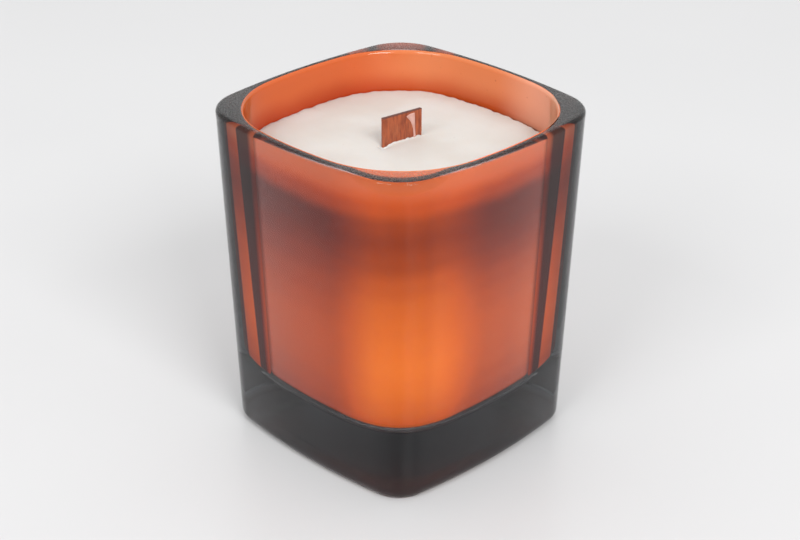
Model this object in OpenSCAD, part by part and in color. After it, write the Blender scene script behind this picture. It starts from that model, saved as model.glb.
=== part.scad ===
// Square glass candle jar with a poured wax fill, a flat wooden wick and its clip.
// The jar stands on z = 0 with its axis on Z. Its four sides face +X, -X, +Y and -Y.

/* [Glass jar] */
// Width of the rim across two opposite sides
rim_width = 80; // [80:0.5:90]
// Height of the jar
jar_height = 94; // [88:1:110]
// Radius that each outer side bows out to, in plan
side_bow = 192; // [150:1:260]
// Radius of the outer corners at the rim, in plan
corner_radius = 13.6; // [13:0.1:16]
// How far each outer side leans in for every millimetre down
side_draft = 0.042; // [0.02:0.001:0.05]
// Rounding of the outer edge at the foot
foot_round = 2.9; // [1:0.1:3]
// Rounding of the outer edge at the rim
rim_round = 1.2; // [0.4:0.1:1.2]
// Width of the ring that the jar stands on
foot_ring = 4.5; // [3:0.1:4.5]
// Height of the hollow inside that ring
punt_height = 1; // [0.4:0.1:2]

/* [Cavity] */
// Width of the mouth across two opposite sides, below the lip
mouth_width = 75; // [70:0.5:75.5]
// Radius that each cavity wall bows out to, in plan
cavity_bow = 120; // [100:1:150]
// Radius of the cavity's corners at the rim, in plan
cavity_corner = 27; // [22:0.5:30]
// How far each cavity wall leans in for every millimetre down
cavity_draft = 0.042; // [0.02:0.001:0.06]
// Thickness of the glass base
base_thickness = 17.5; // [12:0.5:22]
// Rounding between the cavity's walls and floor
floor_round = 5; // [3:0.5:8]
// Rounding of the inner edge at the mouth
lip_round = 1.2; // [0.6:0.1:1.3]

/* [Coating] */
// Thickness of the sprayed film
film_thickness = 0.2; // [0.15:0.05:0.4]

/* [Wax] */
// Height of the wax surface above the ground
wax_level = 83.5; // [60:0.5:84]
// Gap that the wax leaves at the walls as it shrinks
wax_shrinkage = 0.3; // [0.3:0.05:0.6]

/* [Wick] */
// Width of the wooden strip
wick_width = 12.7; // [8:0.1:15]
// Thickness of the wooden strip
wick_thickness = 0.9; // [0.6:0.1:1.4]
// How far the strip stands out of the wax
wick_height = 7.8; // [4:0.1:9]
// Turn of the strip's width away from +X, in degrees
wick_turn = 81.5; // [0:0.5:180]
// Place of the strip along X
wick_x = -1.2; // [-4:0.1:4]
// Place of the strip along Y
wick_y = 1.6; // [-4:0.1:4]

/* [Clip and sticker] */
// Diameter of the clip's foot
clip_diameter = 20; // [19:0.5:24]
// Thickness of the clip's sheet metal
clip_sheet = 0.4; // [0.3:0.05:0.6]
// Height of the clip's jaws above its foot
jaw_height = 6; // [4:0.5:6.5]
// Width of the clip's jaws
jaw_width = 9; // [6:0.5:10]
// Diameter of the foam sticker
sticker_diameter = 18; // [14:0.5:19]
// Thickness of the foam sticker
sticker_thickness = 1; // [0.6:0.1:1.5]

/* [Hidden] */

$fn = 96;
SIDE_STEPS = 6;      // straight steps in each side arc, in plan
CORNER_STEPS = 10;   // straight steps in each corner arc, in plan
PROFILE_STEPS = 5;   // straight steps in each rounded edge, in height
OVERRUN = 1;         // how far a cutting shape runs past the face that it opens
PUNT_SLOPE = 12;     // from the base's edge in to the flat of the hollow under it

film_top = jar_height - lip_round;
film_floor = base_thickness + film_thickness;
wax_inset = film_thickness + wax_shrinkage;
sticker_top = film_floor + sticker_thickness;
clip_top = sticker_top + clip_sheet;
wick_top = wax_level + wick_height;
side_lean = atan(side_draft);
cavity_lean = atan(cavity_draft);

// A plan is a bowed square: [half its width, radius of the side arcs, radius of the corners].
// The side and corner arcs meet in line, at the angle that plan_angle gives.
OUTSIDE = [rim_width / 2, side_bow, corner_radius];
CAVITY = [mouth_width / 2, cavity_bow, cavity_corner];

function plan_angle(plan) = 45 - asin((plan[1] - plan[0]) / ((plan[1] - plan[2]) * sqrt(2)));

// Points of an arc from angle a0 towards angle a1, without the last one where closed is false.
function arc(centre, radius, a0, a1, steps, closed = true) = [
    for (i = [0 : closed ? steps : steps - 1])
        let (a = a0 + (a1 - a0) * i / steps)
        centre + radius * [cos(a), sin(a)]
];

// The side arc that faces +X and the corner arc after it, moved out by offset.
function quarter(plan, offset) =
    let (angle = plan_angle(plan))
    let (place = (plan[1] - plan[2]) * sin(angle))
    concat(
        arc([plan[0] - plan[1], 0], plan[1] + offset, -angle, angle, SIDE_STEPS, false),
        arc([place, place], plan[2] + offset, angle, 90 - angle, CORNER_STEPS, false)
    );

// One closed ring of points for each profile point, which is [offset from the plan, height].
function ring(plan, point) = [
    for (turn = [0 : 90 : 270], p = quarter(plan, point[0]))
        [p[0] * cos(turn) - p[1] * sin(turn), p[0] * sin(turn) + p[1] * cos(turn), point[1]]
];

function rings(plan, profile) = [for (point = profile) ring(plan, point)];

function reversed(list) = [for (i = [len(list) - 1 : -1 : 0]) list[i]];

// Offset at height z of a wall that leans by draft and is on its plan at the rim.
function wall(draft, z) = -draft * (jar_height - z);

// The outside of the glass, from the edge of the foot ring to the rim's flat land.
function outside_profile() =
    let (foot = [wall(side_draft, foot_round) - foot_round / cos(side_lean), foot_round])
    let (high = jar_height - rim_round)
    let (rim = [wall(side_draft, high) - rim_round / cos(side_lean), high])
    concat(
        [[foot[0] - foot_ring, 0]],
        arc(foot, foot_round, -90, -side_lean, PROFILE_STEPS),
        arc(rim, rim_round, -side_lean, 90, PROFILE_STEPS)
    );

// The rounding between the cavity's floor and walls, moved in by inset.
function floor_profile(inset) =
    let (z = base_thickness + floor_round)
    let (centre = [wall(cavity_draft, z) - floor_round / cos(cavity_lean), z])
    arc(centre, floor_round - inset, -90, -cavity_lean, PROFILE_STEPS);

// The cavity's wall at height z, moved in by inset.
function wall_point(inset, z) = [wall(cavity_draft, z) - inset / cos(cavity_lean), z];

// The rounding from the cavity's wall out to the rim's flat land.
function lip_profile() =
    let (centre = [wall(cavity_draft, film_top) + lip_round / cos(cavity_lean), film_top])
    arc(centre, lip_round, 180 - cavity_lean, 90, PROFILE_STEPS);

// The closed skin through a list of rings, with a flat face over the first and the last.
module skin(loops) {
    count = len(loops[0]);
    last = (len(loops) - 1) * count;
    points = [for (loop = loops, p = loop) p];
    walls = [
        for (level = [0 : count : last - count], i = [0 : count - 1])
            let (next = (i + 1) % count)
            [level + i, level + count + i, level + count + next, level + next]
    ];
    first_face = [for (i = [0 : count - 1]) i];
    last_face = [for (i = [count - 1 : -1 : 0]) last + i];
    polyhedron(points, concat([first_face], walls, [last_face]));
}

// Moves a piece from the middle of the jar to where the wick stands.
module at_wick(height) {
    translate([wick_x, wick_y, height])
        rotate([0, 0, wick_turn])
            children();
}

// One skin goes from the hollow under the base, up the outside, over the rim and down inside.
module glass_jar() {
    punt = [wall(side_draft, 0) - PUNT_SLOPE, punt_height];
    inside = concat(floor_profile(0), lip_profile());
    color([0.22, 0.24, 0.26])
        skin(concat(
            [ring(CAVITY, punt)],
            rings(OUTSIDE, outside_profile()),
            rings(CAVITY, reversed(inside))
        ));
}

module inner_coating() {
    outer = concat(floor_profile(0), [wall_point(0, film_top)]);
    inner = concat(floor_profile(film_thickness), [wall_point(film_thickness, film_top)]);
    color([0.85, 0.36, 0.16])
        skin(concat(rings(CAVITY, outer), rings(CAVITY, reversed(inner))));
}

module wax_fill() {
    profile = concat(floor_profile(wax_inset), [wall_point(wax_inset, wax_level)]);
    color([0.9, 0.87, 0.82])
        difference() {
            skin(rings(CAVITY, profile));
            wooden_wick();
            wick_clip();
            wick_sticker();
        }
}

// A strip that stands on the clip's foot, between its jaws.
module wooden_wick() {
    color([0.62, 0.27, 0.13])
        at_wick(clip_top)
            translate([-wick_width / 2, -wick_thickness / 2, 0])
                cube([wick_width, wick_thickness, wick_top - clip_top]);
}

// A round foot with two jaws folded up out of it, which leave two windows behind them.
module wick_clip() {
    jaw_start = wick_thickness / 2;
    window_start = jaw_start + clip_sheet;
    color([0.7, 0.7, 0.68])
        at_wick(sticker_top) {
            difference() {
                cylinder(d = clip_diameter, h = clip_sheet);
                for (side = [0, 180])
                    rotate([0, 0, side])
                        translate([-jaw_width / 2, window_start, -OVERRUN])
                            cube([jaw_width, jaw_height, clip_sheet + 2 * OVERRUN]);
            }
            for (side = [0, 180])
                rotate([0, 0, side])
                    translate([-jaw_width / 2, jaw_start, 0])
                        cube([jaw_width, clip_sheet, clip_sheet + jaw_height]);
        }
}

module wick_sticker() {
    color([0.94, 0.94, 0.92])
        at_wick(film_floor)
            cylinder(d = sticker_diameter, h = sticker_thickness);
}

glass_jar();
inner_coating();
wax_fill();
wooden_wick();
wick_clip();
wick_sticker();
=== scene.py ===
import math

import bmesh
import bpy
import numpy as np
from mathutils import Matrix, Vector, noise

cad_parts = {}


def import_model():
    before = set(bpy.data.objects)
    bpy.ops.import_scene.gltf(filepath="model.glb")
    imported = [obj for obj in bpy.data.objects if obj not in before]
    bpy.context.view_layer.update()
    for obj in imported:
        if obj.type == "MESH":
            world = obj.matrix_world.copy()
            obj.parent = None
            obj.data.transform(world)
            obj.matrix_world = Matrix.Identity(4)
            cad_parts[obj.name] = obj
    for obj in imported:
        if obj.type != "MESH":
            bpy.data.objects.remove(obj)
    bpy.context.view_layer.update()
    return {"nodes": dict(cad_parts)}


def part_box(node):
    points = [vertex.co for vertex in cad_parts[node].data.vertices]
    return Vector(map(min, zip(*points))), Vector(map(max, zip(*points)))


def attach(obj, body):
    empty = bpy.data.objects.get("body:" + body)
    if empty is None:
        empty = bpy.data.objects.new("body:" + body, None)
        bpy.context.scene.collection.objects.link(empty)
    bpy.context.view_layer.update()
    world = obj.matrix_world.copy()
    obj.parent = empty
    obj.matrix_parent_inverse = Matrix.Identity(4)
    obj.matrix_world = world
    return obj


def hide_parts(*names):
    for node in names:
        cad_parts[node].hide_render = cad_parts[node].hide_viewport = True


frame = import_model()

MM = 0.001
film_low, film_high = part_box("inner_coating")
wax_low, wax_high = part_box("wax_fill")
wick_low, wick_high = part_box("wooden_wick")

# The jar's plan and sections, as the CAD has them, in metres.
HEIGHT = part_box("glass_jar")[1].z
OUTSIDE = (40.0 * MM, 192.0 * MM, 13.6 * MM)  # half width, side bow and corner radius
CAVITY = (37.5 * MM, 120.0 * MM, 27.0 * MM)
DRAFT = 0.042
LEAN = math.atan(DRAFT)
FOOT_ROUND = 2.9 * MM
FOOT_RING = 4.5 * MM
RIM_ROUND = 1.2 * MM
LIP_ROUND = 1.2 * MM
FLOOR_ROUND = 5.0 * MM
PUNT_HEIGHT = 1.0 * MM
PUNT_SLOPE = 12.0 * MM
BASE_THICKNESS = film_low.z
FILM_TOP = film_high.z
FILM = 0.2 * MM
AIR = 0.03 * MM  # thin gap between the film and the glass, so that the glass mirrors at a slant

# Where the film is stuck to the glass instead. The near corner is the one at +X -Y.
BOND = 0.03 * MM  # stuck film reaches this far into the glass, so that no air is left
BOND_LOW = 20.0 * MM  # the height from which it is stuck beside the two side corners
SIDE_BOND = (-10.0, 23.0)  # degrees from those two corners, more is nearer the near corner
LIP_BOND = 4.7 * MM  # how far down from the lip it is stuck at the near corner
LIP_BOND_FAR = 16.0 * MM  # the same at the corner across from it
LIP_BOND_ANGLE = 18.5  # degrees to each side of those corners
BOND_SOFT = (0.5, 0.5 * MM, 2.0 * MM)  # over which it comes loose: in degrees, at the lip, and low
LIP_REACH = math.radians(62)  # how far the film follows the lip's rounding

WICK_CENTRE = complex(wick_low.x + wick_high.x, wick_low.y + wick_high.y) / 2
WICK_WIDTH = 12.7 * MM
WICK_THICKNESS = 0.9 * MM
WICK_TURN = math.radians(81.5)
WAX_GAP = 0.45 * MM  # from the cavity's plan to the wax

# How finely the skins are divided.
SIDE_STEPS = 20
CORNER_STEPS = 28
FINE_SIDE = 48  # the wax's edge is ragged, so its rings have more points
FINE_CORNER = 72
ARC_STEPS = 12
FLAT_EDGE = 0.3 * MM  # a ring this far inside a floor's rounding keeps the floor's shading flat

# The ends of the cavity's straight wall, just clear of the roundings at the floor and the lip.
WALL_LOW = BASE_THICKNESS + FLOOR_ROUND + 0.4 * MM
WALL_HIGH = FILM_TOP - 0.2 * MM


# ---------------------------------------------------------------- outlines and skins

def outline(plan, offset, sides=SIDE_STEPS, corners=CORNER_STEPS):
    """A bowed square moved out by offset, as one ring of complex points x + iy."""
    half, bow, corner = plan
    reach = bow - corner
    angle = math.pi / 4 - math.asin((bow - half) / (reach * math.sqrt(2)))
    place = reach * math.sin(angle)
    side = np.linspace(-angle, angle, sides, endpoint=False)
    bend = np.linspace(angle, math.pi / 2 - angle, corners, endpoint=False)
    quarter = np.concatenate([
        half - bow + (bow + offset) * np.exp(1j * side),
        place * (1 + 1j) + (corner + offset) * np.exp(1j * bend),
    ])
    return np.concatenate([quarter * 1j ** turn for turn in range(4)])


def arc(x, z, radius, start, end, steps=ARC_STEPS):
    """Points (x, z) of an arc from angle start to angle end."""
    angles = np.linspace(start, end, steps + 1)
    return list(zip(x + radius * np.cos(angles), z + radius * np.sin(angles)))


def wall(z, inset=0.0):
    """Offset from its plan, at height z, of a wall that is on its plan at the rim."""
    return -DRAFT * (HEIGHT - z) - inset / math.cos(LEAN)


def rings(plan, profile):
    return [(outline(plan, offset), z) for offset, z in profile]


def dome(ring, z_edge, z_centre, steps=6):
    """Rings that shrink from an edge ring to a point, rising or falling to z_centre."""
    shares = np.linspace(1, 0, steps + 1)[1:-1]
    found = [(ring * t, z_centre + (z_edge - z_centre) * t * t) for t in shares]
    return found + [(0j, z_centre)]


def skin(name, loops, material):
    """A closed smooth skin over rings of complex points. A single point closes an end."""
    bm = bmesh.new()
    rows = []
    for ring, z in loops:
        ring = np.atleast_1d(ring)
        heights = np.broadcast_to(z, ring.shape)
        rows.append([bm.verts.new((p.real, p.imag, h)) for p, h in zip(ring, heights)])
    for low, high in zip(rows, rows[1:]):
        count = max(len(low), len(high))
        for i in range(count):
            j = (i + 1) % count
            if len(low) == 1:
                bm.faces.new((low[0], high[j], high[i]))
            elif len(high) == 1:
                bm.faces.new((low[i], low[j], high[0]))
            else:
                bm.faces.new((low[i], low[j], high[j], high[i]))
    return finished(name, bm, material)


def finished(name, bm, material, smooth=True):
    bmesh.ops.recalc_face_normals(bm, faces=bm.faces)
    mesh = bpy.data.meshes.new(name)
    bm.to_mesh(mesh)
    bm.free()
    for polygon in mesh.polygons:
        polygon.use_smooth = smooth
    mesh.materials.append(material)
    piece = bpy.data.objects.new(name, mesh)
    bpy.context.scene.collection.objects.link(piece)
    return piece


# ---------------------------------------------------------------- materials

TONE_MAX = 1.5  # the highest level that a curve of tones can hold


class Nodes:
    """A new material's node tree, with short calls to add and link nodes."""

    def __init__(self, name):
        self.material = bpy.data.materials.new(name)
        self.material.use_nodes = True
        self.tree = self.material.node_tree
        self.tree.nodes.clear()
        self.output = self.tree.nodes.new("ShaderNodeOutputMaterial")

    def add(self, kind, links=None, **settings):
        """Adds a node. settings set its properties, links its inputs by name or number."""
        made = self.tree.nodes.new("ShaderNode" + kind)
        for key, value in settings.items():
            setattr(made, key, value)
        for key, value in (links or {}).items():
            self.put(made.inputs[key], value)
        return made

    def put(self, socket, value):
        if isinstance(value, bpy.types.NodeSocket):
            self.tree.links.new(value, socket)
        else:
            socket.default_value = value

    def math(self, operation, a, b=0.0):
        return self.add("Math", {0: a, 1: b}, operation=operation).outputs[0]

    def ramp(self, value, low, high, to_low=0.0, to_high=1.0):
        """Smoothly maps value from low..high to to_low..to_high."""
        made = self.add("MapRange", {0: value, 1: low, 2: high, 3: to_low, 4: to_high})
        made.interpolation_type = "SMOOTHSTEP"
        return made.outputs[0]

    def mix(self, share, a, b, blend="MIX"):
        """Colour a where share is 0, and b (or a blended with b) where it is 1."""
        made = self.add("Mix", data_type="RGBA", blend_type=blend)
        self.put(made.inputs[0], share)
        self.put(made.inputs[6], a)
        self.put(made.inputs[7], b)
        return made.outputs[2]

    def noise(self, scale, detail=2.0, roughness=0.5, stretch=None):
        """Noise from 0 to 1 with scale features to a metre. stretch scales each axis."""
        place = self.place()
        if stretch:
            place = self.add("Mapping", {"Vector": place, "Scale": stretch}).outputs[0]
        links = {"Vector": place, "Scale": scale, "Detail": detail, "Roughness": roughness}
        return self.add("TexNoise", links).outputs[0]

    def place(self):
        return self.add("TexCoord").outputs["Object"]

    def height(self):
        return self.add("SeparateXYZ", {0: self.place()}).outputs[2]

    def levels(self, value, low, high, stops):
        """A smooth curve through stops of (millimetres, level), as a ramp from low to high."""
        share = self.add("MapRange", {0: value, 1: low, 2: high, 3: 0.0, 4: 1.0}).outputs[0]
        made = self.add("ValToRGB", {0: share})
        made.color_ramp.interpolation = "EASE"
        marks = made.color_ramp.elements
        while len(marks) < len(stops):
            marks.new(0.5)
        for mark, (at, level) in zip(marks, stops):
            mark.position = (at * MM - low) / (high - low)
            mark.color = rgb(level / TONE_MAX, level / TONE_MAX, level / TONE_MAX)
        return self.math("MULTIPLY", made.outputs[0], TONE_MAX)

    def finish(self, surface, volume=None):
        self.put(self.output.inputs["Surface"], surface)
        if volume is not None:
            self.put(self.output.inputs["Volume"], volume)
        return self.material


def rgb(r, g, b):
    return (r, g, b, 1.0)


CAVITY_ROUGH = 0.13  # the cavity's wall is rougher than the outside, which softens its highlights
CAVITY_SPLIT = (38.5 * MM, 39.1 * MM)  # half widths at the rim: less is the cavity, more the outside
CAVITY_CURVE = 5.0  # metres per metre squared: how a side falls back from its middle, for the split
RIM_FROST = 0.20  # the least roughness of the rim's flat land
GLASS_TINT = (0.42, 0.44, 0.46)
GLASS_DENSITY = 66.0
MIRROR = 0.40  # mirror highlights are weakened to this, because at 1 they hid the orange


def smoky_glass():
    """Clear smoky glass: frosted on the rim's land and under the base, slightly rough inside."""
    n = Nodes("smoky_glass")
    height = n.height()
    land = n.ramp(height, HEIGHT - 0.35 * MM, HEIGHT - 0.05 * MM)
    specks = n.ramp(n.noise(3600.0, 2.0), 0.40, 0.64)
    frost = n.math("MULTIPLY", land, n.math("ADD", n.math("MULTIPLY", specks, 0.12), RIM_FROST))
    under = n.ramp(height, PUNT_HEIGHT + 0.1 * MM, PUNT_HEIGHT + 0.6 * MM, 0.5, 0.0)
    frost = n.math("ADD", frost, under)
    faint = n.ramp(n.noise(140.0, 3.0), 0.3, 0.8, 0.0, 0.025)
    parts = n.add("SeparateXYZ", {0: n.place()})
    x = n.math("ABSOLUTE", parts.outputs[0])
    y = n.math("ABSOLUTE", parts.outputs[1])
    far = n.math("MAXIMUM", x, y)
    near = n.math("MINIMUM", x, y)
    bow = n.math("MULTIPLY", n.math("MULTIPLY", near, near), CAVITY_CURVE)
    drop = n.math("MULTIPLY", n.math("SUBTRACT", HEIGHT, height), math.tan(LEAN))
    reach = n.math("ADD", n.math("ADD", far, bow), drop)
    cavity = n.ramp(reach, *CAVITY_SPLIT, CAVITY_ROUGH, 0.0)
    rough = n.math("ADD", n.math("MAXIMUM", frost, cavity), faint)
    waves = n.noise(30.0, 1.0)
    grit = n.math("MULTIPLY", n.noise(3200.0, 1.0), n.math("MULTIPLY", land, 0.12))
    bump = n.add("Bump", {
        "Height": n.math("ADD", waves, grit),
        "Strength": 0.12,
        "Distance": 0.02 * MM,
    })
    shader = n.add("BsdfPrincipled", {
        "Base Color": rgb(1.0, 1.0, 1.0),
        "Roughness": rough,
        "IOR": 1.5,
        "Specular Tint": rgb(MIRROR, MIRROR, MIRROR),
        "Transmission Weight": 1.0,
        "Normal": bump.outputs[0],
    })
    absorb = n.add("VolumeAbsorption", {"Color": rgb(*GLASS_TINT), "Density": GLASS_DENSITY})
    return n.finish(shader.outputs[0], absorb.outputs[0])


# The film's outer side. Its tones are painted light and shade, to match how the jar looks from its
# near corner.
FILM_GLOW = 0.6  # emission in the film's own colour, not physical: without it the orange is dull
SIDE_CORNERS = 0.5  # painted shade: the two side corners are this much as bright as the other two
FACE_LIFT = 0.16  # painted light: the near right face (+X) is also this much brighter at its middle
GREEN, GREEN_POWER = 0.17, 1.6  # green and blue fall off faster than red as the tone falls, so that where the painted shade is deeper the orange is redder as well as darker
BLUE, BLUE_POWER = 0.012, 2.0  # so that a thick coat is redder as well as darker
PALE_ORANGE = (1.0, 0.34, 0.16)
PALE_HEIGHT = (85.0 * MM, 91.0 * MM)  # painted light: where the orange turns half pale, towards the rim
# Painted light and shade up the jar, as millimetres and level, at the corners and at the middle of
# the sides.
CORNER_TONE = (
    (15.0, 0.6), (21.5, 0.85), (25.5, 1.1), (31.5, 1.32), (38.0, 1.4), (44.0, 1.32), (50.0, 1.22),
    (56.5, 1.12), (62.5, 0.9), (69.0, 0.62), (75.0, 0.48), (79.5, 0.56), (84.5, 0.78), (90.0, 0.88),
)
SIDE_TONE = (
    (15.0, 0.34), (22.0, 0.42), (28.0, 0.54), (34.5, 0.62), (41.0, 0.65), (47.0, 0.64), (53.0, 0.57),
    (59.0, 0.47), (65.5, 0.33), (70.0, 0.24), (75.0, 0.18), (79.5, 0.16), (84.0, 0.44), (89.0, 0.66),
)
# The dark bands at the two side corners are painted shade. Angles are degrees from the corner, as in
# SIDE_BOND.
DEGREES = 57.3  # in a radian
BAND_LEVEL = 0.11  # how bright the bands are, against 1 for no band
BAND_BACK = (-10.5, -9.5)  # the bands' soft edge behind the corner
BAND_FRONT = ((18.2, 21.5, 0.58), (22.3, 25.0, 0.42))  # the edge before it, in two soft steps
STRIPE_BACK = (2.0, 50.0)  # the clear stripe between the bands leans: each of its edges is at
STRIPE_FRONT = (15.4, 63.0)  # an angle at height 0, less so many degrees per metre of height
STRIPE_SOFT = 0.4  # degrees
STRIPE_LOW = (19.5 * MM, 21.5 * MM)  # the heights over which it fades in


def corner_painted_shade(n, place):
    """Dark bands of painted shade round the two side corners, with a clear stripe up between them."""
    ahead = n.math("SUBTRACT", place[0], place[1])
    across = n.math("ABSOLUTE", n.math("ADD", place[0], place[1]))
    turn = n.math("MULTIPLY", n.math("ARCTAN2", ahead, across), DEGREES)
    first = n.math("SUBTRACT", STRIPE_BACK[0], n.math("MULTIPLY", place[2], STRIPE_BACK[1]))
    last = n.math("SUBTRACT", STRIPE_FRONT[0], n.math("MULTIPLY", place[2], STRIPE_FRONT[1]))
    left = n.ramp(n.math("SUBTRACT", turn, first), -STRIPE_SOFT, STRIPE_SOFT)
    right = n.ramp(n.math("SUBTRACT", last, turn), -STRIPE_SOFT, STRIPE_SOFT)
    stripe = n.math("MULTIPLY", left, right)
    stripe = n.math("MULTIPLY", stripe, n.ramp(place[2], *STRIPE_LOW))
    steps = [n.ramp(turn, start, end, 0.0, share) for start, end, share in BAND_FRONT]
    behind = n.ramp(turn, *BAND_BACK, 1.0, 0.0)
    lit = n.math("MAXIMUM", stripe, n.math("MAXIMUM", n.math("ADD", *steps), behind))
    return n.math("ADD", BAND_LEVEL, n.math("MULTIPLY", lit, 1 - BAND_LEVEL))


def film_painted_light(n):
    """Painted light and shade on the orange, by height and by angle. share is 0 mid side and 1 at a
    corner.
    """
    parts = n.add("SeparateXYZ", {0: n.place()})
    x = n.math("ABSOLUTE", parts.outputs[0])
    y = n.math("ABSOLUTE", parts.outputs[1])
    share = n.math("DIVIDE", n.math("MINIMUM", x, y), n.math("MAXIMUM", x, y))
    cloud = n.math("SUBTRACT", n.noise(38.0, 3.0), 0.5)
    corner = n.ramp(n.math("ADD", share, n.math("MULTIPLY", cloud, 0.15)), 0.3, 0.85)
    height = n.math("ADD", parts.outputs[2], n.math("MULTIPLY", cloud, 6.0 * MM))
    gap = n.math("ABSOLUTE", n.math("SUBTRACT", parts.outputs[0], parts.outputs[1]))
    thin = n.math("DIVIDE", gap, n.math("ADD", x, y))  # 0 at the side corners, 1 at the other two
    # painted light: the near right face (+X) is brighter, and takes on some of the corners' glow
    front = n.ramp(n.math("MULTIPLY", parts.outputs[1], -1.0), -30.0 * MM, 4.0 * MM)
    right = n.ramp(n.math("SUBTRACT", parts.outputs[0], y), -4.0 * MM, 12.0 * MM)
    side = n.math("MULTIPLY", front, right)  # 1 on the near right face
    corner = n.math("MAXIMUM", corner, n.math("MULTIPLY", side, n.ramp(share, 0.1, 0.75)))
    tones = [n.levels(height, 10.0 * MM, 95.0 * MM, stops) for stops in (SIDE_TONE, CORNER_TONE)]
    bright = n.math("MULTIPLY", tones[1], n.ramp(thin, 0.0, 0.7, SIDE_CORNERS, 1.0))
    tone = n.add("MapRange", {0: corner, 1: 0.0, 2: 1.0, 3: tones[0], 4: bright}).outputs[0]
    more = n.math("MULTIPLY", side, n.math("SUBTRACT", 1.0, corner))
    tone = n.math("MULTIPLY", tone, n.math("ADD", 1.0, n.math("MULTIPLY", more, FACE_LIFT)))
    # painted shade: the dark bands at the two side corners
    tone = n.math("MULTIPLY", tone, corner_painted_shade(n, parts.outputs))
    grain = n.ramp(n.noise(1500.0, 2.0), 0.3, 0.7, 0.985, 1.012)
    return n.math("MULTIPLY", tone, grain)


def film_colour(n, tone):
    """The coat's orange at a tone of painted light and shade: the darker, the redder."""
    # painted light: the orange turns half pale towards the rim
    lit_pale = n.ramp(n.height(), *PALE_HEIGHT, 0.0, 0.5)
    green = n.math("MULTIPLY", n.math("POWER", tone, GREEN_POWER), GREEN)
    blue = n.math("MULTIPLY", n.math("POWER", tone, BLUE_POWER), BLUE)
    orange = n.add("CombineColor", {0: tone, 1: green, 2: blue}).outputs[0]
    grey = n.add("CombineColor", {0: tone, 1: tone, 2: tone}).outputs[0]
    paler = n.mix(1.0, rgb(*PALE_ORANGE), grey, "MULTIPLY")
    return n.mix(lit_pale, orange, paler)


def orange_film():
    """The side of the coat that is seen through the glass."""
    n = Nodes("orange_film")
    colour = film_colour(n, film_painted_light(n))
    bump = n.add("Bump", {"Height": n.noise(900.0, 2.0), "Strength": 0.02, "Distance": 0.02 * MM})
    shader = n.add("BsdfPrincipled", {
        "Base Color": colour,
        "Roughness": n.ramp(n.noise(60.0), 0.3, 0.7, 0.6, 0.8),
        "Specular IOR Level": 0.0,
        "Emission Color": colour,
        "Emission Strength": FILM_GLOW,
        "Normal": bump.outputs[0],
    })
    through = n.add("BsdfTranslucent", {"Color": colour, "Normal": bump.outputs[0]})
    both = n.add("MixShader", {0: 0.35, 1: shader.outputs[0], 2: through.outputs[0]})
    return n.finish(both.outputs[0])


def orange_film_inside():
    """The side that is seen above the wax, with painted light and shade: paler towards the rim,
    darker and redder at the left rear, paler at the right corner, and dark below the wax's edge.
    """
    n = Nodes("orange_film_inside")
    height = n.height()
    cloud = n.noise(55.0, 3.0)
    # painted light: paler towards the rim
    up = n.math("ADD", n.ramp(height, 80.0 * MM, 92.0 * MM), n.math("MULTIPLY", cloud, 0.35))
    colour = n.mix(n.ramp(up, 0.1, 1.1), rgb(0.60, 0.088, 0.014), rgb(0.80, 0.26, 0.092))
    parts = n.add("SeparateXYZ", {0: n.place()})
    across = n.math("ADD", parts.outputs[0], parts.outputs[1])
    # painted shade: darker and redder to the left rear
    left_rear_shade = n.ramp(across, -20.0 * MM, 10.0 * MM, 1.0, 0.0)
    colour = n.mix(left_rear_shade, colour, rgb(0.93, 0.62, 0.42), "MULTIPLY")
    colour = n.mix(1.0, colour, rgb(0.90, 0.93, 0.95), "MULTIPLY")
    # painted light: paler at the right corner
    right = n.ramp(across, 36.0 * MM, 54.0 * MM, 0.0, 0.8)
    colour = n.mix(right, colour, rgb(0.84, 0.44, 0.29))
    # painted shade: dark on the wall below the wax's edge, in the gap where the wax has shrunk from
    # it
    gap_shade = n.ramp(height, 81.2 * MM, 82.2 * MM)
    colour = n.mix(gap_shade, rgb(0.10, 0.012, 0.008), colour)
    specks = n.ramp(n.noise(900.0, 1.0), 0.74, 0.79, 0.0, 0.3)
    colour = n.mix(specks, colour, rgb(0.30, 0.05, 0.02))
    bump = n.add("Bump", {"Height": n.noise(500.0, 2.0), "Strength": 0.04, "Distance": 0.02 * MM})
    shader = n.add("BsdfPrincipled", {
        "Base Color": colour,
        "Roughness": n.ramp(cloud, 0.3, 0.7, 0.03, 0.05),
        "Normal": bump.outputs[0],
    })
    through = n.add("BsdfTranslucent", {"Color": colour})
    both = n.add("MixShader", {0: 0.3, 1: shader.outputs[0], 2: through.outputs[0]})
    return n.finish(both.outputs[0])


def cream_wax():
    """Set wax: finely pitted, with a few darker specks and a little light inside it."""
    n = Nodes("cream_wax")
    cloud = n.noise(60.0, 4.0)
    colour = n.mix(n.ramp(cloud, 0.3, 0.7), rgb(0.55, 0.52, 0.48), rgb(0.585, 0.565, 0.535))
    specks = n.ramp(n.noise(950.0, 1.0), 0.70, 0.77, 0.0, 0.22)
    colour = n.mix(specks, colour, rgb(0.42, 0.38, 0.34))
    grit = n.math("ADD", n.noise(600.0, 3.0), n.math("MULTIPLY", n.noise(150.0, 2.0), 2.0))
    bump = n.add("Bump", {"Height": grit, "Strength": 0.35, "Distance": 0.05 * MM})
    shader = n.add("BsdfPrincipled", {
        "Base Color": colour,
        "Roughness": n.ramp(cloud, 0.3, 0.7, 0.5, 0.68),
        "Subsurface Weight": 0.25,
        "Subsurface Radius": Vector((1.0, 0.7, 0.5)),
        "Subsurface Scale": 1.5 * MM,
        "Normal": bump.outputs[0],
    })
    return n.finish(shader.outputs[0])


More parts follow.
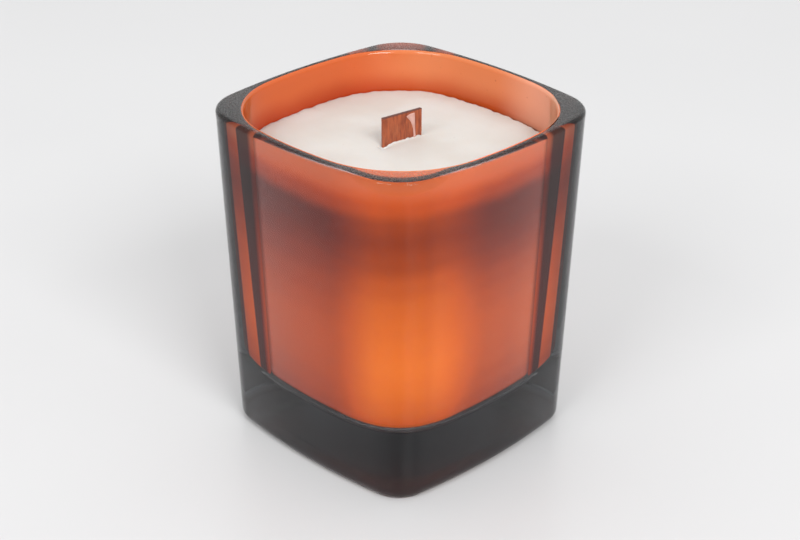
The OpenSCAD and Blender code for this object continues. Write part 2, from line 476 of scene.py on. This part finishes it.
def wax_drip():
    n = Nodes("wax_drip")
    cloud = n.noise(400.0, 2.0)
    colour = n.mix(n.ramp(cloud, 0.3, 0.7), rgb(0.50, 0.27, 0.22), rgb(0.60, 0.37, 0.32))
    bump = n.add("Bump", {"Height": cloud, "Strength": 0.2, "Distance": 0.02 * MM})
    shader = n.add("BsdfPrincipled", {
        "Base Color": colour,
        "Roughness": n.ramp(cloud, 0.3, 0.7, 0.3, 0.42),
        "Normal": bump.outputs[0],
    })
    return n.finish(shader.outputs[0])


def wick_wood():
    """Reddish wood with its grain upright, darkest along the top edge."""
    n = Nodes("wick_wood")
    fibre = n.noise(1500.0, 4.0, 0.6, stretch=(1.0, 1.0, 0.16))
    patch = n.noise(380.0, 4.0, stretch=(1.0, 1.0, 0.55))
    streak = n.noise(420.0, 2.0, stretch=(1.0, 1.0, 0.12))
    colour = n.mix(n.ramp(fibre, 0.32, 0.68), rgb(0.18, 0.034, 0.012), rgb(0.38, 0.090, 0.030))
    colour = n.mix(n.ramp(patch, 0.42, 0.72, 0.0, 0.45), colour, rgb(0.40, 0.12, 0.048))
    colour = n.mix(n.ramp(streak, 0.63, 0.72, 0.0, 0.75), colour, rgb(0.10, 0.035, 0.015))
    top = n.ramp(n.height(), wick_high.z - 0.45 * MM, wick_high.z - 0.15 * MM, 0.0, 0.8)
    colour = n.mix(top, colour, rgb(0.055, 0.020, 0.018))
    bump = n.add("Bump", {"Height": fibre, "Strength": 0.5, "Distance": 0.05 * MM})
    shader = n.add("BsdfPrincipled", {
        "Base Color": colour,
        "Roughness": n.ramp(fibre, 0.3, 0.7, 0.42, 0.62),
        "Normal": bump.outputs[0],
    })
    return n.finish(shader.outputs[0])


def clip_metal():
    n = Nodes("clip_metal")
    grain = n.noise(800.0, 3.0, stretch=(1.0, 0.08, 1.0))
    colour = n.mix(n.ramp(grain, 0.3, 0.7), rgb(0.50, 0.51, 0.52), rgb(0.66, 0.67, 0.68))
    bump = n.add("Bump", {"Height": grain, "Strength": 0.15, "Distance": 0.02 * MM})
    shader = n.add("BsdfPrincipled", {
        "Base Color": colour,
        "Metallic": 1.0,
        "Roughness": n.ramp(grain, 0.3, 0.7, 0.28, 0.42),
        "Normal": bump.outputs[0],
    })
    return n.finish(shader.outputs[0])


def sticker_foam():
    n = Nodes("sticker_foam")
    cells = n.noise(2200.0, 2.0)
    colour = n.mix(n.ramp(cells, 0.35, 0.65), rgb(0.62, 0.61, 0.58), rgb(0.80, 0.79, 0.76))
    bump = n.add("Bump", {"Height": cells, "Strength": 0.5, "Distance": 0.1 * MM})
    shader = n.add("BsdfPrincipled", {
        "Base Color": colour,
        "Roughness": n.ramp(cells, 0.3, 0.7, 0.7, 0.9),
        "Normal": bump.outputs[0],
    })
    return n.finish(shader.outputs[0])


# ---------------------------------------------------------------- pieces

def outside_profile():
    """The outside of the glass, as (offset, height), from the foot ring up to the rim's land."""
    z = HEIGHT - RIM_ROUND
    foot_x = wall(FOOT_ROUND, FOOT_ROUND)
    foot = arc(foot_x, FOOT_ROUND, FOOT_ROUND, -math.pi / 2, -LEAN)
    rim = arc(wall(z, RIM_ROUND), z, RIM_ROUND, -LEAN, math.pi / 2)
    low, high = FOOT_ROUND * 1.15, HEIGHT - RIM_ROUND * 1.5
    return (
        [(foot_x - FOOT_RING, 0.0), (foot_x - 0.2 * MM, 0.0)]
        + foot
        + [(wall(low), low), (wall(high), high)]
        + rim
    )


def floor_profile(inset):
    """The rounding between the cavity's floor and its wall, moved in by inset."""
    z = BASE_THICKNESS + FLOOR_ROUND
    return arc(wall(z, FLOOR_ROUND), z, FLOOR_ROUND - inset, -math.pi / 2, -LEAN)


def lip_profile():
    """The rounding between the cavity's wall and the rim's land."""
    centre = wall(FILM_TOP) + LIP_ROUND / math.cos(LEAN)
    return arc(centre, FILM_TOP, LIP_ROUND, math.pi - LEAN, math.pi / 2)


def under_rings():
    """The hollow under the base, from its middle out to the foot ring."""
    flat = outline(CAVITY, wall(0) - PUNT_SLOPE)
    edge = outline(OUTSIDE, wall(FOOT_ROUND, FOOT_ROUND) - FOOT_RING)
    slope = [
        (flat + (edge - flat) * t, PUNT_HEIGHT * (1 - t * t * (3 - 2 * t)))
        for t in np.linspace(0, 1, 9)[:-1]
    ]
    return dome(flat, PUNT_HEIGHT, PUNT_HEIGHT)[::-1] + slope


def glass_jar(material):
    """The glass: under its base, up the outside, over the rim and down the cavity to its floor."""
    floor_edge = floor_profile(0)[0][0] - FLAT_EDGE
    straight = [(wall(z), z) for z in (WALL_LOW, WALL_HIGH)]
    inside = floor_profile(0) + straight + lip_profile()
    loops = (
        under_rings()
        + rings(OUTSIDE, outside_profile())
        + rings(CAVITY, inside[::-1])
        + rings(CAVITY, [(floor_edge, BASE_THICKNESS)])
        + dome(outline(CAVITY, floor_edge), BASE_THICKNESS, BASE_THICKNESS)
    )
    return skin("jar_glass", loops, material)


def bonded(ring, z):
    """1 where the film is stuck to the glass, else 0, with a short ramp in between."""
    soft_turn, soft_lip, soft_low = BOND_SOFT
    turn = np.degrees(np.arcsin((ring.real - ring.imag) / np.abs(ring) / math.sqrt(2)))
    side = np.clip((turn - SIDE_BOND[0]) / soft_turn, 0, 1)
    side = side * np.clip((SIDE_BOND[1] - turn) / soft_turn, 0, 1)
    side = side * np.clip((z - BOND_LOW) / soft_low, 0, 1)
    deep = np.where(turn > 0, LIP_BOND, LIP_BOND_FAR)
    deep = deep * np.clip(1 - ((90 - np.abs(turn)) / LIP_BOND_ANGLE) ** 2, 0, 1)
    lip = np.clip((z - FILM_TOP + deep) / soft_lip, 0, 1) * (deep > 0)
    return np.maximum(side, lip)


def film_side(inset, reach, grip=0.0):
    """One side of the film, from the middle of the floor up and over the lip's rounding.

    It lies inset from the glass, or nearer by grip where the film is stuck.
    """
    loops = []
    for more in (0.0, grip):
        at = inset - more
        profile = floor_profile(at)
        z = BASE_THICKNESS + at
        edge = outline(CAVITY, profile[0][0] - FLAT_EDGE)
        finer = FILM_TOP - LIP_BOND_FAR  # closer rings from here up, for the bond's curved edges
        heights = np.concatenate([
            np.linspace(WALL_LOW, finer - 0.5 * MM, 30),
            np.linspace(finer, WALL_HIGH, 40),
        ])
        walls = [(wall(h, at), h) for h in heights]
        centre = wall(FILM_TOP) + LIP_ROUND / math.cos(LEAN)
        start = math.pi - LEAN
        lip = arc(centre, FILM_TOP, LIP_ROUND + at, start, start - reach)
        loops.append(dome(edge, z, z)[::-1] + [(edge, z)] + rings(CAVITY, profile + walls + lip))
    blend = []
    for (free, z_free), (held, z_held) in zip(*loops):
        around = np.where(free == 0, 1 + 0.5j, free)  # the floor's centre has no direction of its own
        share = bonded(around, z_free)
        blend.append((free + (held - free) * share, z_free + (z_held - z_free) * share))
    return blend


def inner_coating(against, inside):
    """The film, with one material on the side against the glass and another on the inside."""
    loops = film_side(AIR, LIP_REACH, AIR + BOND) + film_side(FILM, LIP_REACH * 0.9)[::-1]
    piece = skin("film_coating", loops, against)
    piece.data.materials.append(inside)
    faces = len(piece.data.polygons)
    for polygon in piece.data.polygons:
        if polygon.index >= faces // 2:
            polygon.material_index = 1
    return piece


def ripple(x, y, scale, seed):
    """Smooth noise, roughly -1 to 1, with features of about the given size in metres."""
    return noise.noise(Vector((x / scale, y / scale, seed)))


def resampled(ring, count):
    """The same closed ring as count points evenly along its length."""
    closed = np.append(ring, ring[0])
    run = np.concatenate([[0.0], np.cumsum(np.abs(np.diff(closed)))])
    at = np.linspace(0, run[-1], count, endpoint=False)
    return np.interp(at, run, closed.real) + 1j * np.interp(at, run, closed.imag)


def wick_ring(offset, count):
    """The wick's section moved out by offset, its corners rounded, starting at its right end."""
    along = np.exp(1j * WICK_TURN)
    half_w, half_t, bend = WICK_WIDTH / 2, WICK_THICKNESS / 2, 0.12 * MM
    points = []
    for u, v, start in ((1, 1, 0), (-1, 1, 90), (-1, -1, 180), (1, -1, 270)):
        for step in range(7):
            turn = np.exp(1j * math.radians(start + 15 * step))
            points.append(complex(u * (half_w - bend), v * (half_t - bend)) + (bend + offset) * turn)
    points = points[-4:] + points[:-4]
    return WICK_CENTRE + along * resampled(np.array(points), count)


def wax_edge_inset(point):
    """How far the wax has shrunk from the wall at its top edge, more towards +Y."""
    way = point / abs(point)
    shrunk = 0.30 + 1.7 * max(0.0, way.imag - 0.3)  # millimetres
    x, y = point.real, point.imag
    ragged = ripple(x, y, 3.4 * MM, 2.0) + 0.6 * ripple(x, y, 1.3 * MM, 5.0)
    return (shrunk + 0.22 * max(-0.6, ragged)) * MM


def wax_height(point, share, clear):
    """Height of the wax's top. share is 0 at the wick and 1 at the edge, clear is from the wick."""
    x, y = point.real, point.imag
    level = wax_high.z - 0.25 * MM - 0.75 * MM * share ** 5
    level += 0.22 * MM * ripple(x, y, 16 * MM, 1.0) + 0.05 * MM * ripple(x, y, 4 * MM, 3.0)
    level += 0.28 * MM * share ** 24 * ripple(x, y, 2.6 * MM, 7.0)
    along = ((point - WICK_CENTRE) / np.exp(1j * WICK_TURN)).real
    climb = 0.55 + 0.35 * ripple(along, 0.0, 1.1 * MM, 4.0)
    level += climb * MM * math.exp(-clear / (0.28 * MM))
    pit = math.hypot(along + WICK_WIDTH / 2, clear) / (1.5 * MM)
    return level - 0.9 * MM * math.exp(-pit * pit)  # a shallow pit at the wick's left end


# The wax's ragged top edge, as a chamfer of rings: millimetres below the top, and further in.
WAX_EDGE = ((2.0, 0.15), (1.2, 0.06), (0.6, 0.0), (0.28, 0.0), (0.1, 0.05), (0.0, 0.16))
EDGE_DEPTH = 3.0  # millimetres below the top where the raggedness has died out


def wax_fill(material):
    """The wax: floor, straight side, ragged edge, and a top that ends in a slot for the wick.

    The rings of the top change step by step from the edge's shape to the wick's section.
    """
    fine = {"sides": FINE_SIDE, "corners": FINE_CORNER}
    profile = floor_profile(WAX_GAP)
    floor_z = BASE_THICKNESS + WAX_GAP
    edge = outline(CAVITY, profile[0][0] - FLAT_EDGE, **fine)
    loops = dome(edge, floor_z, floor_z)[::-1] + [(edge, floor_z)]
    loops += [(outline(CAVITY, offset, **fine), z) for offset, z in profile]
    top = wax_high.z
    side_top = top - 4.4 * MM  # clear of the lowest ring of the ragged edge
    for z in np.linspace(floor_z + FLOOR_ROUND, side_top, 10):
        loops.append((outline(CAVITY, wall(z, WAX_GAP), **fine), z))
    rim = outline(CAVITY, wall(top), **fine)
    count = len(rim)
    out = rim / np.abs(rim)
    inner = np.array([wax_edge_inset(p) for p in rim])
    heights = np.array([wax_height(p, 1.0, 1.0) for p in rim])
    for drop, more in WAX_EDGE:
        share = 1 - drop / EDGE_DEPTH
        ring = rim - out * (WAX_GAP * (1 - share) + inner * share + more * MM)
        loops.append((ring, heights - drop * MM))
    last = loops[-1][0]
    start = int(np.argmin(np.abs(np.angle(last * np.exp(-1j * WICK_TURN)))))
    even = np.roll(resampled(np.roll(last, -start), count), start)
    foot = np.roll(wick_ring(0.0, count), start)
    way = foot - np.roll(wick_ring(-0.01 * MM, count), start)
    way = way / np.abs(way)
    for t in np.linspace(1, 0, 64)[1:]:
        share = t ** 1.7  # the rings lie closer together near the wick
        shape = last * share + even * (1 - share)
        ring = foot + (shape - foot) * share + way * 0.04 * MM
        clear = np.abs(ring - foot)
        zs = [wax_height(p, share, c) for p, c in zip(ring, clear)]
        loops.append((ring, np.array(zs)))
    slot_floor = top - 1.0 * MM
    loops.append((np.roll(wick_ring(-0.3 * MM, count), start), slot_floor))
    loops.append((np.atleast_1d(WICK_CENTRE), slot_floor))
    return skin("wax_block", loops, material)


def wooden_wick(material):
    """The wooden strip: closed rings up its length, roughened along the grain."""
    count = 260
    half_w = WICK_WIDTH / 2
    turn = np.exp(1j * WICK_TURN)
    top = wick_high.z - 0.06 * MM
    start = wax_low.z + 55 * MM  # still inside the wax: close rings are needed only above here
    exposed = np.linspace(start, top - 0.08 * MM, 60)
    loops = []
    low = wick_ring(-0.3 * MM, count)
    loops.append((np.atleast_1d(WICK_CENTRE), wick_low.z))
    loops.append((low, wick_low.z))
    for z in [wick_low.z + 0.1 * MM, *exposed]:
        base = wick_ring(-0.03 * MM, count)
        local = (base - WICK_CENTRE) / turn
        moved = []
        for p in local:
            rough = 0.035 * MM * ripple(p.real, z * 0.12, 0.28 * MM, math.copysign(9, p.imag))
            end = 0.06 * MM * ripple(z, p.real, 0.9 * MM, 11.0) * (abs(p.real) > half_w * 0.97)
            along = p.real + math.copysign(end, p.real)
            moved.append(complex(along, p.imag + math.copysign(rough, p.imag)))
        loops.append((WICK_CENTRE + turn * np.array(moved), z))
    for inset, drop in ((0.07, 0.06), (0.13, 0.02), (0.25, 0.0)):  # the worn top edge, millimetres
        ring = wick_ring(-inset * MM, count)
        local = (ring - WICK_CENTRE) / turn
        uneven = np.array([0.05 * MM * ripple(p.real, 0.0, 0.9 * MM, 13.0) for p in local])
        loops.append((ring, top - drop * MM + uneven))
    loops.append((np.atleast_1d(WICK_CENTRE), top))
    return skin("wick_strip", loops, material)


# The run of wax on the wick, in millimetres: height above the fill, and how far its left and its
# right edge are from the wick's left end.
DRIP = (
    (-0.6, 9.95, 10.75), (0.6, 9.98, 10.62), (1.5, 9.9, 10.55), (2.6, 9.72, 10.5), (3.6, 9.45, 10.45),
    (4.5, 9.1, 10.42), (5.2, 8.65, 10.4), (5.8, 8.1, 10.38), (6.2, 7.75, 10.36), (6.55, 7.62, 10.34),
    (6.8, 8.2, 10.3), (7.0, 8.9, 10.2),
)
DRIP_TOP = 7.15  # the height towards which its bulge fades out
DRIP_BULGE = 0.16 * MM  # how far it stands out of the wood


def wax_run(material):
    """A pale run of wax down the face of the wick that looks towards +X: a closed thin shell."""
    turn = np.exp(1j * WICK_TURN)
    across = 13
    sunk = 0.1 * MM  # how deep its back lies in the wood
    bm = bmesh.new()
    sheets = []
    for depth in (0.0, 1.0):  # its back, then its front
        rows = []
        for up, left, right in DRIP:
            row = []
            for i in range(across):
                s = i / (across - 1)
                bulge = DRIP_BULGE * math.sqrt(max(0.0, 1 - (2 * s - 1) ** 2))
                bulge *= min(1.0, (DRIP_TOP - up) / 0.6)
                out = -WICK_THICKNESS / 2 + sunk - depth * (sunk + bulge)
                u = (left + (right - left) * s) * MM - WICK_WIDTH / 2
                p = WICK_CENTRE + turn * complex(u, out)
                row.append(bm.verts.new((p.real, p.imag, wax_high.z + up * MM)))
            rows.append(row)
        sheets.append(rows)
    for rows in sheets:
        for low, high in zip(rows, rows[1:]):
            for i in range(across - 1):
                bm.faces.new((low[i], low[i + 1], high[i + 1], high[i]))
    border = []
    for rows in sheets:
        ring = rows[0] + [r[-1] for r in rows[1:-1]] + rows[-1][::-1] + [r[0] for r in rows[-2:0:-1]]
        border.append(ring)
    count = len(border[0])
    for i in range(count):
        j = (i + 1) % count
        bm.faces.new((border[0][i], border[0][j], border[1][j], border[1][i]))
    return finished("wax_run", bm, material)


# ---------------------------------------------------------------- stage

FLOOR_HALF = 4.0
FLOOR_DROP = 0.02 * MM  # keeps the floor just clear of the foot ring


def floor_plane():
    """The plain pale surface that the jar stands on, slightly glossy."""
    n = Nodes("pale_floor")
    cloud = n.noise(6.0, 3.0)
    colour = n.mix(n.ramp(cloud, 0.3, 0.7), rgb(0.595, 0.595, 0.60), rgb(0.61, 0.61, 0.615))
    bump = n.add("Bump", {"Height": n.noise(900.0, 2.0), "Strength": 0.05, "Distance": 0.05 * MM})
    shader = n.add("BsdfPrincipled", {
        "Base Color": colour,
        "Roughness": n.ramp(cloud, 0.3, 0.7, 0.32, 0.36),
        "Normal": bump.outputs[0],
    })
    bm = bmesh.new()
    for x, y in ((-1, -1), (1, -1), (1, 1), (-1, 1)):
        bm.verts.new((x * FLOOR_HALF, y * FLOOR_HALF, -FLOOR_DROP))
    bm.faces.new(bm.verts)
    return finished("floor", bm, n.finish(shader.outputs[0]), smooth=False)


def direction(azimuth, elevation):
    a, e = math.radians(azimuth), math.radians(elevation)
    return Vector((math.sin(a) * math.cos(e), -math.cos(a) * math.cos(e), math.sin(e)))


def softbox(name, azimuth, elevation, distance, width, height, radiance):
    """A rectangular light that faces the object. Its power is worked out from its radiance."""
    light = bpy.data.lights.new(name, "AREA")
    light.shape = "RECTANGLE"
    light.size = width
    light.size_y = height
    light.energy = radiance * width * height * math.pi
    lamp = bpy.data.objects.new(name, light)
    way = direction(azimuth, elevation)
    lamp.location = way * distance + Vector((0, 0, HEIGHT / 2))
    lamp.rotation_euler = way.to_track_quat("Z", "Y").to_euler()
    bpy.context.scene.collection.objects.link(lamp)


# The camera, solved from the jar's outline. Angles are in degrees.
CAMERA_AZIMUTH = 45.124
CAMERA_ELEVATION = 27.352
CAMERA_DISTANCE = 0.5
CAMERA_LENS = 82.22
CAMERA_ROLL = 0.222
CAMERA_TARGET_Z = 45.666 * MM


def camera():
    """The camera of the default view."""
    data = bpy.data.cameras.new("camera")
    data.lens = CAMERA_LENS
    data.sensor_width = 36.0
    data.clip_start = 0.01
    cam = bpy.data.objects.new("camera", data)
    way = direction(CAMERA_AZIMUTH, CAMERA_ELEVATION)
    roll = Matrix.Rotation(math.radians(CAMERA_ROLL), 4, "Z")
    turn = way.to_track_quat("Z", "Y").to_matrix().to_4x4() @ roll
    place = way * CAMERA_DISTANCE + Vector((0, 0, CAMERA_TARGET_Z))
    cam.matrix_world = Matrix.Translation(place) @ turn
    bpy.context.scene.collection.objects.link(cam)
    bpy.context.scene.camera = cam


WORLD_FRONT = 0.56  # strength of the white light from behind the camera
WORLD_BACK = 1.05  # and from behind the object
WORLD_RISE = 12  # degrees that the brightest point lies above the horizon


def world():
    """White light all round, brighter behind the object than in front of it."""
    made = bpy.data.worlds.new("studio")
    made.use_nodes = True
    nodes, links = made.node_tree.nodes, made.node_tree.links
    way = direction(CAMERA_AZIMUTH + 180, WORLD_RISE)
    along = nodes.new("ShaderNodeVectorMath")
    along.operation = "DOT_PRODUCT"
    along.inputs[1].default_value = way
    links.new(nodes.new("ShaderNodeTexCoord").outputs["Generated"], along.inputs[0])
    level = nodes.new("ShaderNodeMapRange")
    for i, value in enumerate((-1.0, 1.0, WORLD_FRONT, WORLD_BACK)):
        level.inputs[i + 1].default_value = value
    links.new(along.outputs["Value"], level.inputs[0])
    links.new(level.outputs[0], nodes["Background"].inputs["Strength"])
    nodes["Background"].inputs["Color"].default_value = rgb(1.0, 1.0, 1.0)
    bpy.context.scene.world = made


# The two lights, one on each side of the camera. Angles are in degrees, sizes in metres.
KEY_ELEVATION = 38
KEY_DISTANCE = 2.0
KEY_SIZE = (0.87, 0.67)

scene = bpy.context.scene
scene.view_settings.view_transform = "Standard"
scene.cycles.max_bounces = 24
scene.cycles.diffuse_bounces = 8
scene.cycles.transmission_bounces = 20
scene.cycles.glossy_bounces = 8
camera()
world()
floor_plane()
for name, aside, radiance in (("key_right", 26, 14.5), ("key_left", -35.5, 8.5)):
    softbox(name, CAMERA_AZIMUTH + aside, KEY_ELEVATION, KEY_DISTANCE, *KEY_SIZE, radiance)

glass = glass_jar(smoky_glass())
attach(glass, "jar")
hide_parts("glass_jar")

film = inner_coating(orange_film(), orange_film_inside())
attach(film, "jar")
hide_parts("inner_coating")

wax = wax_fill(cream_wax())
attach(wax, "candle")
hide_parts("wax_fill")

wick = wooden_wick(wick_wood())
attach(wick, "candle")
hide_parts("wooden_wick")

run = wax_run(wax_drip())
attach(run, "candle")
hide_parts("wax_fill")

for name, material in (("wick_clip", clip_metal()), ("wick_sticker", sticker_foam())):
    node = frame["nodes"][name]
    node.data.materials.clear()
    node.data.materials.append(material)
